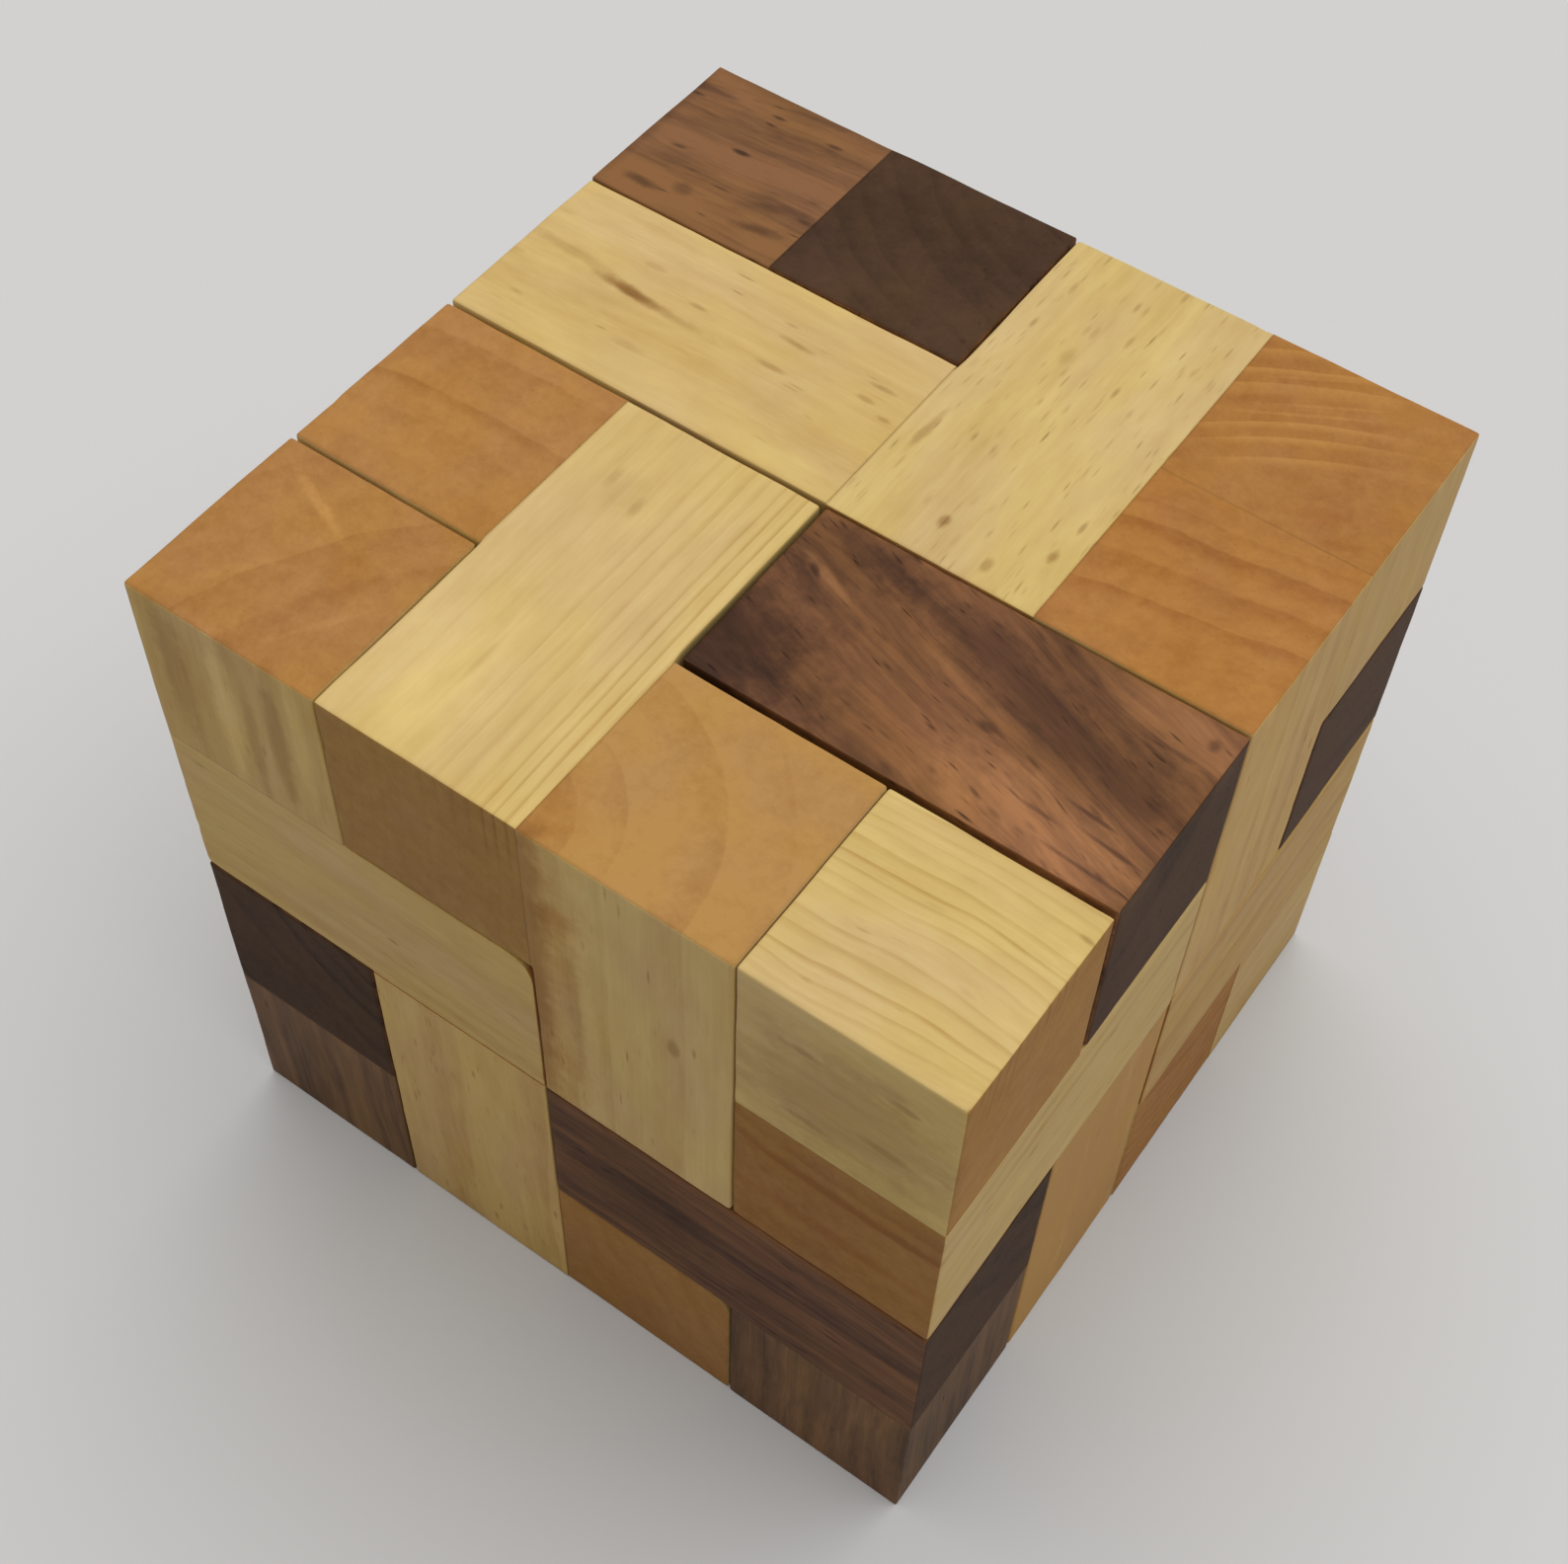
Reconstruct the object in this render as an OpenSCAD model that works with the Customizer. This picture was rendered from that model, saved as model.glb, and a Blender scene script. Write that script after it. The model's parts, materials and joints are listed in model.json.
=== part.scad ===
// Wooden assembly cube: eight interlocking pieces, each glued up from short square sticks
// and single cubes, that slide together into one solid cube four sticks wide.
// The cube stands on Z = 0 with its middle on the Z axis. X and Y run along its edges.

/* [Cube] */
// Outside length of the cube's edges, in mm
cube_side = 80; // [48:1:120]
// Sideways play between two loose pieces, in mm
play = 0.2; // [0.1:0.05:0.5]

/* [Woods] */
// Colour of the pale pieces
pale_wood = "burlywood"; // [burlywood, wheat, tan, goldenrod]
// Colour of the dark pieces
dark_wood = "saddlebrown"; // [saddlebrown, sienna, maroon, brown]

/* [Hidden] */
CELLS = 4; // cells along each edge of the cube
pitch = (cube_side + play) / CELLS; // from one cell to the next
AXES = [[1, 0, 0], [0, 1, 0], [0, 0, 1]];

// Who fills each cell. One block of four lines for each layer, from the floor up. In a block the
// lines run from the front of the cube to the back, and each line from left to right.
// K key, L lock, A arch, B base, R roof, H heel, C cradle, S spine.
LAYERS = [
    ["CBBL",
     "BBBK",
     "CHHH",
     "CHSH"],
    ["CBLL",
     "CALK",
     "CCSH",
     "HHSH"],
    ["BBAK",
     "AALK",
     "RCSR",
     "RSSS"],
    ["BAAK",
     "AALL",
     "RRRR",
     "SSRR"],
];

// The letter of the piece that fills a cell, or nothing outside the cube.
function owner(cell) = min(cell) < 0 || max(cell) >= CELLS ? undef : LAYERS[cell.z][cell.y][cell.x];

// How far a cell's wood stays back from its grid plane on one side: not at all where the next
// cell belongs to the same piece, because the two are glued, and half the play anywhere else.
function setback(cell, side) = owner(cell + side) == owner(cell) ? 0 : play / 2;

// The wood in one cell of the grid.
module cell_block(cell) {
    low = [for (axis = AXES) cell * axis * pitch - play / 2 + setback(cell, -axis)];
    high = [for (axis = AXES) (cell * axis + 1) * pitch - play / 2 - setback(cell, axis)];
    translate([-cube_side / 2, -cube_side / 2, 0])
        translate(low)
            cube(high - low);
}

// One glued-in part of a piece: a square stick that covers every cell from first to last.
module stick(first, last) {
    union() {
        for (x = [min(first.x, last.x) : max(first.x, last.x)])
            for (y = [min(first.y, last.y) : max(first.y, last.y)])
                for (z = [min(first.z, last.z) : max(first.z, last.z)])
                    cell_block([x, y, z]);
    }
}

// A part that is one cell long.
module small_cube(cell) {
    stick(cell, cell);
}

// Key: the piece on the right that slides out first.
module key_corner() { color(pale_wood) small_cube([3, 0, 3]); }
module key_cross_stick() { color(pale_wood) stick([3, 0, 2], [3, 1, 2]); }
module key_drop_stick() { color(pale_wood) stick([3, 1, 0], [3, 1, 1]); }

// Lock: held in by the key and the arch, and follows the key out to the right.
module lock_top_stick() { color(dark_wood) stick([2, 1, 3], [3, 1, 3]); }
module lock_core_stick() { color(dark_wood) stick([2, 1, 1], [2, 1, 2]); }
module lock_front_stick() { color(dark_wood) stick([2, 0, 1], [3, 0, 1]); }
module lock_foot_corner() { color(dark_wood) small_cube([3, 0, 0]); }

// Arch: stands over the base on three legs and lifts straight up.
module arch_top_stick() { color(pale_wood) stick([1, 0, 3], [1, 1, 3]); }
module arch_front_leg() { color(pale_wood) stick([2, 0, 2], [2, 0, 3]); }
module arch_left_leg() { color(pale_wood) stick([0, 1, 2], [0, 1, 3]); }
module arch_core_leg() { color(pale_wood) stick([1, 1, 1], [1, 1, 2]); }

// Base: the front half's floor, with a post that reaches up to the front left top corner.
module base_top_corner() { color(pale_wood) small_cube([0, 0, 3]); }
module base_front_stick() { color(pale_wood) stick([0, 0, 2], [1, 0, 2]); }
module base_front_post() { color(pale_wood) stick([1, 0, 0], [1, 0, 1]); }
module base_right_floor_stick() { color(pale_wood) stick([2, 0, 0], [2, 1, 0]); }
module base_left_floor_stick() { color(pale_wood) stick([0, 1, 0], [1, 1, 0]); }

// Roof: the back half's top, hooked under the spine on the left.
module roof_left_stick() { color(pale_wood) stick([0, 2, 3], [1, 2, 3]); }
module roof_right_stick() { color(pale_wood) stick([2, 2, 3], [2, 3, 3]); }
module roof_corner() { color(pale_wood) small_cube([3, 3, 3]); }
module roof_right_leg() { color(pale_wood) stick([3, 2, 2], [3, 2, 3]); }
module roof_left_hook() { color(pale_wood) stick([0, 2, 2], [0, 3, 2]); }

// Heel: the back half's floor.
module heel_corner() { color(pale_wood) small_cube([3, 3, 0]); }
module heel_right_stick() { color(pale_wood) stick([3, 2, 1], [3, 3, 1]); }
module heel_right_floor_stick() { color(pale_wood) stick([2, 2, 0], [3, 2, 0]); }
module heel_left_floor_stick() { color(pale_wood) stick([1, 2, 0], [1, 3, 0]); }
module heel_back_stick() { color(pale_wood) stick([0, 3, 1], [1, 3, 1]); }

// Cradle: the left side, which ties the front half to the back half.
module cradle_front_corner() { color(dark_wood) small_cube([0, 0, 0]); }
module cradle_side_stick() { color(dark_wood) stick([0, 0, 1], [0, 1, 1]); }
module cradle_side_post() { color(dark_wood) stick([0, 2, 0], [0, 2, 1]); }
module cradle_core_post() { color(dark_wood) stick([1, 2, 1], [1, 2, 2]); }
module cradle_back_corner() { color(dark_wood) small_cube([0, 3, 0]); }

// Spine: the piece at the back that slides out to the rear.
module spine_top_corner() { color(dark_wood) small_cube([0, 3, 3]); }
module spine_left_post() { color(dark_wood) stick([1, 3, 2], [1, 3, 3]); }
module spine_right_stick() { color(dark_wood) stick([2, 3, 2], [3, 3, 2]); }
module spine_foot_post() { color(dark_wood) stick([2, 3, 0], [2, 3, 1]); }
module spine_core_post() { color(dark_wood) stick([2, 2, 1], [2, 2, 2]); }

key_corner();
key_cross_stick();
key_drop_stick();
lock_top_stick();
lock_core_stick();
lock_front_stick();
lock_foot_corner();
arch_top_stick();
arch_front_leg();
arch_left_leg();
arch_core_leg();
base_top_corner();
base_front_stick();
base_front_post();
base_right_floor_stick();
base_left_floor_stick();
roof_left_stick();
roof_right_stick();
roof_corner();
roof_right_leg();
roof_left_hook();
heel_corner();
heel_right_stick();
heel_right_floor_stick();
heel_left_floor_stick();
heel_back_stick();
cradle_front_corner();
cradle_side_stick();
cradle_side_post();
cradle_core_post();
cradle_back_corner();
spine_top_corner();
spine_left_post();
spine_right_stick();
spine_foot_post();
spine_core_post();
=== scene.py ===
"""A wooden assembly cube: eight interlocking pieces, each glued up from short square sticks and
small cubes, in a pale wood and a dark wood. Every stick is cut from its own log, so its growth
rings, fibres and pores run through it from face to face."""

import json
import math
import random
from functools import partial
from typing import NamedTuple

import bpy
from bpy.props import FloatProperty, FloatVectorProperty, IntProperty, PointerProperty
from mathutils import Matrix, Vector

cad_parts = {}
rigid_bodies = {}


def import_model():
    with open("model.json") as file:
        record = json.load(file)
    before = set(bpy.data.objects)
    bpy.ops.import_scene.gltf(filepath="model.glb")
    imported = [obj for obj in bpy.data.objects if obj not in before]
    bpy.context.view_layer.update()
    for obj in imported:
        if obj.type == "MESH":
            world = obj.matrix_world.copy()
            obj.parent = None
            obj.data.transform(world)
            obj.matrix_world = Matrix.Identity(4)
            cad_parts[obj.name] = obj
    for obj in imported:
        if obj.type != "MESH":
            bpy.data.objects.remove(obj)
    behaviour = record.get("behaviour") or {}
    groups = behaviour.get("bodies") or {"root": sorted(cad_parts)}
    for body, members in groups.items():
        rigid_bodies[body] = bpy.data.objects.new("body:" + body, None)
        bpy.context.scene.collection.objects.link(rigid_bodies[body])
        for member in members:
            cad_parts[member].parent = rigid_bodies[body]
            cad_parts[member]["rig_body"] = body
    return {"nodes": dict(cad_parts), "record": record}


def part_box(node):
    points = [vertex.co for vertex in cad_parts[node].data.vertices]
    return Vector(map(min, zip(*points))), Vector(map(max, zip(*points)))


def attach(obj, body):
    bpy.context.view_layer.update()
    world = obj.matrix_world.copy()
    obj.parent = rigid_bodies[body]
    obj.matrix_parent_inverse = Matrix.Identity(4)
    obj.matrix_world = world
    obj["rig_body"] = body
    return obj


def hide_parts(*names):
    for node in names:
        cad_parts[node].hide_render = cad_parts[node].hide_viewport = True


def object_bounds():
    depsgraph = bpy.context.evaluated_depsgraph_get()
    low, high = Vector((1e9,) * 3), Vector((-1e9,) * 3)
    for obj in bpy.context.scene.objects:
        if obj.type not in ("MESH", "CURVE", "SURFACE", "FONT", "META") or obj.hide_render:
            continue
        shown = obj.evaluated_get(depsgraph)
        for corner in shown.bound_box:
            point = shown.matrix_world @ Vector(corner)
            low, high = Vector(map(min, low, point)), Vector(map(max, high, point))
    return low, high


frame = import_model()
CAD_LOW, CAD_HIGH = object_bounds()

bl_info = {
    "name": "Wooden Assembly Cube",
    "version": (1, 0, 0),
    "blender": (4, 5, 0),
    "location": "View3D > Sidebar > Wooden Cube",
    "description": "Builds an interlocking cube puzzle out of sticks of pale and dark wood",
    "category": "Add Mesh",
}

MM = 0.001  # metres in a millimetre
CELLS = 4  # cells along each edge of the cube
FACE_STEPS = 24  # mesh steps across one cell
EDGE_STEPS = 3  # of those, the steps in the strip beside each edge
TREE_NAME = "Sanded Stick"
CUBE_SIDE = CAD_HIGH.x - CAD_LOW.x


class Mark(NamedTuple):
    """A fleck, stain or ray at one place in a stick."""

    kind: str
    at: tuple  # from the stick's middle, in mm
    reach: tuple  # half its size along x, y and z, in mm
    strength: float
    slope: float = 0.0  # how far it climbs towards the back for each mm to the right


fleck, stain, ray = (partial(Mark, kind) for kind in ("fleck", "stain", "ray"))


class Stick(NamedTuple):
    """How one stick was cut from its log, and how that log grew."""

    wood: str
    pith: tuple  # from the stick's middle to the log's heart, in mm, across the grain
    ring_gap: float  # mm between growth rings
    rings: float = 0.5  # how clearly the rings show; below 0 they are lighter than the rest
    line: float = 0.2  # 0 for broad soft rings, 1 for thin lines
    sway: float = 2.0  # mm that the grain wanders
    pores: float = 0.3  # share of the pores that show
    tone: float = 0.0  # above 0 is a darker stick, below 0 a lighter one
    warmth: float = 0.0  # above 0 is redder, below 0 is greyer
    end_tone: float = 0.0  # tone and warmth of the cut ends, on top of the stick's own
    end_warmth: float = 0.0
    slope: tuple = (0.0, 0.0)  # how far the grain strays across for each mm along
    worn: tuple = (0, 0, 0)  # one edge, by the sides that it joins, that is rounded far more
    grain: str = ""  # the grain's axis; a stick two cells long has it along its length
    seed: int = 0
    marks: tuple = ()
    focus: tuple = ()  # where the rings are clearest: a place and a reach, in mm


class Kind(NamedTuple):
    """How the marks, shades and pores of one kind of wood stand out."""

    shade: float  # where plain wood lies between the light colour, 0, and the dark one, 1
    rings: float
    streaks: float
    fibres: float
    patches: float
    pores: float
    pore_colour: tuple
    ray: tuple  # what a ray multiplies the wood's colour by
    stain: tuple  # the same for a stain


class Waves(NamedTuple):
    """A smooth random change through the wood."""

    per_mm: tuple  # waves in each mm, across the grain both ways and along it
    detail: float = 2.0  # how many finer waves lie on top
    roughness: float = 0.5  # how strong those are


KINDS = {
    "pale": Kind(
        shade=0.36, rings=0.72, streaks=0.6, fibres=0.36, patches=0.55, pores=0.7,
        pore_colour=(0.30, 0.175, 0.06), ray=(1.28, 1.36, 1.5), stain=(0.80, 0.62, 0.46),
    ),
    "dark": Kind(
        shade=0.5, rings=0.85, streaks=1.3, fibres=0.6, patches=1.0, pores=0.8,
        pore_colour=(0.02, 0.012, 0.009), ray=(1.75, 1.85, 1.95), stain=(0.42, 0.40, 0.46),
    ),
}

SLOW_BENDS = Waves((0.022, 0.022, 0.012), 1.0)
QUICK_BENDS = Waves((0.15, 0.15, 0.06))
FIBRES = Waves((3.4, 3.4, 0.085), 3.0, 0.62)
STREAKS = Waves((0.62, 0.62, 0.013), 3.0, 0.6)
PATCHES = Waves((0.085, 0.085, 0.03))
MOTTLING = Waves((0.55, 0.55, 0.17), 3.0, 0.6)
HUES = Waves((0.13, 0.13, 0.05))
GRIT = Waves((1.9, 1.9, 0.4), 3.0, 0.7)
RIPPLES = Waves((0.45, 0.45, 0.45), 4.0, 0.65)  # ragged outlines of the marks
WEAR = Waves((0.16, 0.16, 0.16))  # where an edge is worn
NICKS = Waves((0.55, 0.55, 0.55), 3.0, 0.6)
NOISE_MIDDLE = 0.5  # random values lie round this
TONE_STEP = 0.5  # how far a tone of 1 goes from the light colour to the dark one
MOTTLED = 0.75
HUE_SHIFT = (9.1, 3.3, 5.7)  # takes the hues away from the other changes

# How far the numbers of two sticks lie apart in the random changes, for each step of seed
LOG_SPACING = 61.7
RING_SPACING = 2.3
UNEVEN_SPACING = 1.7
WEAR_SPACING = 7.3

# How the grain bends, in mm for each mm of a stick's sway
SLOW_SWAY = 2.4
QUICK_SWAY = 0.4

# Growth rings
UNEVEN_PER_MM = 0.21  # waves in each mm of radius that push the rings apart or together
UNEVEN_RINGS = 1.6  # by how many rings at most
LATE_START = 0.15  # where in a ring the late wood starts, for the broadest lines
LATE_SHIFT = 0.6  # how much later it starts for the thinnest
LATE_END = 0.93  # where it is darkest; it fades from there to the ring's edge
RING_STEP = 3.7  # one ring to the next in the random strengths
USUAL_RING = 0.2  # about their mean, so that they don't darken the stick as a whole
RING_LEAST = 0.6  # how clear they are where the wood is lightest
RING_MORE = 0.8  # how much clearer where it is darkest
OFF_FOCUS = 0.12  # how clear they still are far from the place where they are clearest

# Pores lie one to a cell: the cells in each mm, across the grain both ways and along it
FINE_PORES = (2.4, 2.4, 0.26)
BROAD_PORES = (0.95, 0.95, 0.27)
FINE_SHARE = 0.9  # how many fine ones show for each broad one
PORE_RIM = 0.38  # from a pore's middle to its outline, in cells
PORE_CORE = 0.10  # from its middle to where it is full
PORE_WIDTHS = 0.14  # how much narrower the narrowest are
FAINTEST_PORE = 0.25

# In halves of a mark's size: its outline, where it is full, and how ragged the outline is
MARK_RIM = 1.05
MARK_CORE = 0.25
RAGGED = 0.9

# Shades of a cut end: where plain wood lies, and how the rings and the open fibres stand out
END_SHADE = 0.42
END_RINGS = 0.8
END_GRIT = 0.5
END_PORES_LESS = 0.8

# What these multiply the wood's colour by
FLECK = (0.55, 0.42, 0.31)
REDDER = (1.07, 0.92, 0.74)
GREYER = (0.96, 1.08, 1.14)
YELLOW_HUE = (1.02, 1.01, 0.90)
PINK_HUE = (0.99, 0.97, 1.08)
EDGE_GRIME_AND_GAP_SHADE = (0.72, 0.52, 0.36)  # grime from years of hands on the edges, and painted shade along the gaps between pieces
GLUE = (0.55, 0.45, 0.38)  # the glue lines inside a piece
EDGE_GRIME_AND_GAP_SHADE_SHARE = 0.42
GLUE_SHARE = 0.35

# The wax: its shine, and its roughness from 0 to 1
SHINE = 0.12
ROUGHNESS = 0.58
FIBRE_ROUGHER = 0.16
END_ROUGHER = 0.13
PORE_ROUGHER = 0.2
RUBBED_SMOOTHER = 0.07

# How far the grain stands out or in, in mm
FIBRE_RISE = 0.016
END_FIBRE_RISE = 0.012
RING_DIP = 0.004
PORE_DIP = 0.05

# How much of its radius an edge gains where it is worn or nicked
USUAL_WEAR = 0.55  # less this, so that the edges are no rounder as a whole
NICK_DEPTH = 0.9

# How far a face is sanded down, as shares of the unevenness
LEAST_SANDED = 0.02
INNER_SANDED = 0.4  # of that, what a face between two pieces gets

# The stage
LIGHT_FROM = Vector((0.02, 0.14, 0.60))  # the way to the light overhead, a little behind
LIGHT_COLOUR = (1.0, 0.995, 0.985)
ROOM_COLOUR = (1.0, 0.87, 0.74, 1.0)
WALL_COLOUR = (0.645, 0.64, 0.63, 1.0)
FLOOR_ROUGHNESS = 0.85
FLOOR_SHINE = 0.15
SENSOR_WIDTH = 36.0  # mm
NEAREST_SEEN = 0.01  # metres from the camera
AIM = Vector((-0.0267, -0.0130, 0.0027))  # from the cube's middle, in cube sides

STICKS = {
    "key_corner": Stick(
        "pale", pith=(-60, 16), ring_gap=1.15, rings=0.75, line=0.6, sway=5.5, pores=0.1, tone=-0.1,
        warmth=-0.35, slope=(-0.07, 0.0), grain="X", seed=3,
        marks=(
            fleck((0, -10, -2), (15, 3.5, 11), 0.48),
            fleck((4, -10, -3), (2.8, 3, 0.8), 0.45),
            fleck((-4, -10, 4), (2.4, 3, 0.7), 0.4),
            fleck((5, -10, 5), (2.0, 3, 0.6), 0.4),
            fleck((-3, -10, -6), (3.0, 3, 0.7), 0.4),
        ),
        focus=((0, 1, 11), (18, 16, 7)),
    ),
    "key_cross_stick": Stick(
        "pale", pith=(70, 6), ring_gap=3.6, rings=0.6, line=0.1, tone=0.08, end_tone=0.34,
        end_warmth=-0.7, seed=5,
        marks=(
            stain((0, -20, 4.6), (16, 3, 1.2), 0.4),
            stain((0, -20, -2.4), (16, 3, 1.6), 0.5),
            fleck((-5, -20, -7.5), (9, 3, 1.6), 0.25),
        ),
    ),
    "key_drop_stick": Stick("pale", pith=(-20, 55), ring_gap=3.0, tone=1.5, warmth=0.8, seed=7),
    "lock_top_stick": Stick(
        "dark", pith=(-9, 26), ring_gap=4.6, rings=0.45, sway=8.0, pores=0.55, tone=-0.36,
        warmth=0.1, slope=(0.24, 0.0), seed=11,
        marks=(
            stain((-19, -7, 10), (15, 13, 9), 1.0),
            stain((-19.5, -8, 10), (9, 8, 9), 0.7),
            stain((5, 3.2, 10), (25, 4.4, 9), 0.85, -0.3),
            stain((-13, 7.6, 10), (9, 1.8, 6), 0.6, -0.2),
            ray((12, -6.5, 10), (15, 6.0, 5), 0.7, -0.1),
            ray((16, 7.5, 10), (10, 4.4, 5), 0.4, -0.2),
            stain((-17, 7, 10), (9, 5, 6), 0.5),
            ray((-16, 4.1, 10), (4.2, 0.75, 2), 1.0, -0.42),
            ray((0, 1.2, 10), (9, 1.1, 3), 0.25, -0.22),
            stain((14, -3.6, 10), (3.2, 0.3, 2), 0.9, -0.1),
            stain((10.6, -5.6, 10), (2.2, 0.3, 2), 0.8, -0.1),
            stain((16.8, -5.4, 10), (4.0, 0.32, 2), 0.9, -0.12),
            stain((15, -8.0, 10), (5.0, 0.3, 2), 0.75, -0.08),
            stain((3, -1.2, 10), (1.2, 0.7, 2), 0.8),
            stain((18, 7.6, 10), (0.8, 0.9, 2), 0.8),
        ),
    ),
    "lock_core_stick": Stick(
        "dark", pith=(12, 30), ring_gap=4.0, rings=0.7, sway=4.0, pores=0.5, seed=12,
    ),
    "lock_front_stick": Stick(
        "dark", pith=(25, 22), ring_gap=4.0, sway=4.0, pores=0.4, tone=0.16, seed=13,
        marks=(
            stain((-9, -10, 0), (10, 9, 9), 0.5),
        ),
    ),
    "lock_foot_corner": Stick(
        "dark", pith=(30, 14), ring_gap=3.6, rings=0.2, sway=3.0, pores=0.05, tone=-0.2,
        warmth=-1.4, grain="Z", seed=14,
        marks=(
            stain((10, 0, 0), (3, 18, 18), 0.4),
        ),
    ),
    "arch_top_stick": Stick(
        "pale", pith=(8, -75), ring_gap=1.4, rings=1.0, line=0.6, sway=1.2, pores=0.02, tone=-0.02,
        warmth=-0.26, end_tone=0.24, end_warmth=-1.0, seed=21,
        marks=(
            fleck((-5.7, 12.4, 10), (0.7, 1.9, 2), 0.32),
            fleck((-2.2, 10.6, 10), (0.7, 1.6, 2), 0.36),
            fleck((-4.0, 11.2, 10), (2.6, 3.4, 3), 0.2),
            fleck((-2.2, -9.0, 10), (0.5, 3.0, 2), 0.22),
            ray((-4, -12, 10), (6.5, 10, 3), 0.24),
        ),
        focus=((6.4, 2, 10), (5.5, 30, 7)),
    ),
    "arch_front_leg": Stick(
        "pale", pith=(-13.6, -10.4), ring_gap=5.6, rings=0.45, line=0.4, sway=1.2, pores=0.2,
        tone=-0.1, warmth=-0.1, end_tone=-0.24, end_warmth=-0.5, seed=26,
        marks=(
            stain((-13.6, -10.8, 0), (11.5, 12.5, 60), 0.7),
            ray((-3.4, -6.5, 10), (2.0, 4.2, 3), 0.3, -1.2),
            fleck((4.3, -10, 2), (0.8, 3, 1.8), 0.6),
            fleck((-9.6, -10, 0), (2.4, 3, 40), 0.6),
            fleck((-5.6, -10, -3), (0.9, 3, 14), 0.35),
            stain((-7, -9, 10), (4, 4, 3), 0.7),
        ),
    ),
    "arch_left_leg": Stick(
        "pale", pith=(8, -95), ring_gap=4.6, rings=0.45, line=0.4, sway=2.6, pores=0.15, warmth=0.1,
        seed=23,
    ),
    "arch_core_leg": Stick("pale", pith=(18, 40), ring_gap=3.0, seed=24),
    "base_top_corner": Stick(
        "pale", pith=(46, -27), ring_gap=4.8, rings=0.3, line=0.1, sway=3.4, pores=0.1, tone=0.3,
        end_tone=-0.15, grain="Z", seed=31,
        marks=(
            ray((-3, 5.6, 10), (6.5, 0.75, 3), 0.6, -0.45),
            ray((-4.5, -4.5, 10), (3.6, 1.2, 3), 0.28, 1.3),
            ray((5.5, -4.0, 10), (3.0, 0.9, 3), 0.26, 1.5),
            stain((4.0, 0.5, 10), (2.6, 4.5, 4), 0.3, -0.5),
            ray((-0.8, -10, 0), (1.8, 3, 14), 0.9),
            ray((7.4, -10, 2), (1.2, 3, 12), 0.5),
            fleck((-6.2, -10, 1), (2.4, 3, 14), 0.5),
            fleck((1.8, -10, -2), (1.0, 3, 12), 0.4),
            fleck((4.8, -10, 0), (1.5, 3, 12), 0.55),
        ),
    ),
    "base_front_stick": Stick(
        "pale", pith=(14, 60), ring_gap=3.4, rings=0.3, tone=0.2, worn=(1, 0, 1), seed=32,
    ),
    "base_front_post": Stick(
        "pale", pith=(-16, 50), ring_gap=2.2, rings=0.55, line=0.3, sway=1.6, pores=0.35, tone=0.08,
        warmth=0.2, seed=33,
    ),
    "base_right_floor_stick": Stick(
        "pale", pith=(15, 42), ring_gap=2.8, rings=0.4, tone=0.3, end_warmth=-0.4, worn=(1, 0, 1),
        seed=34,
    ),
    "base_left_floor_stick": Stick("pale", pith=(-22, 48), ring_gap=2.8, seed=35),
    "roof_left_stick": Stick(
        "pale", pith=(8, -62), ring_gap=3.2, rings=0.25, line=0.3, sway=3.0, pores=0.14, tone=-0.08,
        warmth=-0.15, seed=41,
        marks=(
            fleck((-8.2, 0.4, 10), (4.4, 0.85, 3), 0.95, -0.06),
            fleck((-5.5, 0.1, 10), (8.0, 0.7, 3), 0.45, -0.05),
            fleck((-15, 1.4, 10), (7.0, 0.8, 3), 0.36, -0.06),
            fleck((7.6, 3.7, 10), (2.3, 0.42, 3), 0.5, -0.05),
            fleck((16.6, 3.8, 10), (2.0, 0.4, 3), 0.5),
            fleck((7.2, 0.2, 10), (1.9, 0.42, 3), 0.5),
            fleck((16.0, 1.9, 10), (1.3, 0.42, 3), 0.5),
            fleck((18.6, 0.8, 10), (1.0, 0.4, 3), 0.5),
            fleck((-4, -5.1, 10), (2.2, 0.6, 3), 0.25),
            fleck((-8, 4.2, 10), (1.6, 0.5, 3), 0.25),
        ),
    ),
    "roof_right_stick": Stick(
        "pale", pith=(-58, 24), ring_gap=2.8, rings=0.12, line=0.3, pores=0.8, tone=-0.1,
        warmth=-0.45, seed=42,
        marks=(
            fleck((-8.0, -8.0, 10), (0.6, 3.4, 3), 0.6, 2.0),
            fleck((-1.2, -15.6, 10), (0.7, 1.1, 3), 0.8),
            fleck((8.0, -13.6, 10), (0.6, 1.1, 3), 0.75),
            fleck((4.2, -17.6, 10), (0.6, 1.1, 3), 0.6),
            fleck((-3, 6.6, 10), (0.8, 1.6, 3), 0.35),
        ),
    ),
    "roof_corner": Stick(
        "pale", pith=(34, -60), ring_gap=2.1, rings=-0.9, line=0.3, sway=1.2, pores=0.25, tone=0.14,
        warmth=0.3, grain="Z", seed=43,
        marks=(
            ray((-3.5, 2.4, 10), (7.2, 0.32, 3), 0.55, 0.58),
            ray((-2.2, 4.5, 10), (7.0, 0.28, 3), 0.45, 0.6),
            ray((-4.6, 6.9, 10), (5.0, 0.3, 3), 0.4, 0.6),
            stain((-7, 2.2, 10), (3.5, 1.0, 3), 0.35, 0.6),
            stain((3.6, -6.6, 10), (3.0, 1.3, 3), 0.45, 0.4),
            stain((6.4, -8.6, 10), (2.0, 0.9, 3), 0.4, 0.4),
            stain((2.4, 4.8, 10), (1.4, 0.8, 3), 0.35, 0.5),
        ),
        focus=((-5, 4, 10), (9, 9, 40)),
    ),
    "roof_right_leg": Stick(
        "pale", pith=(12, -90), ring_gap=3.4, line=0.1, sway=3.4, pores=0.15, tone=0.26, warmth=0.5,
        seed=44,
        marks=(
            stain((0, -1.4, 10), (12, 2.2, 5), 0.28),
        ),
    ),
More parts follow.
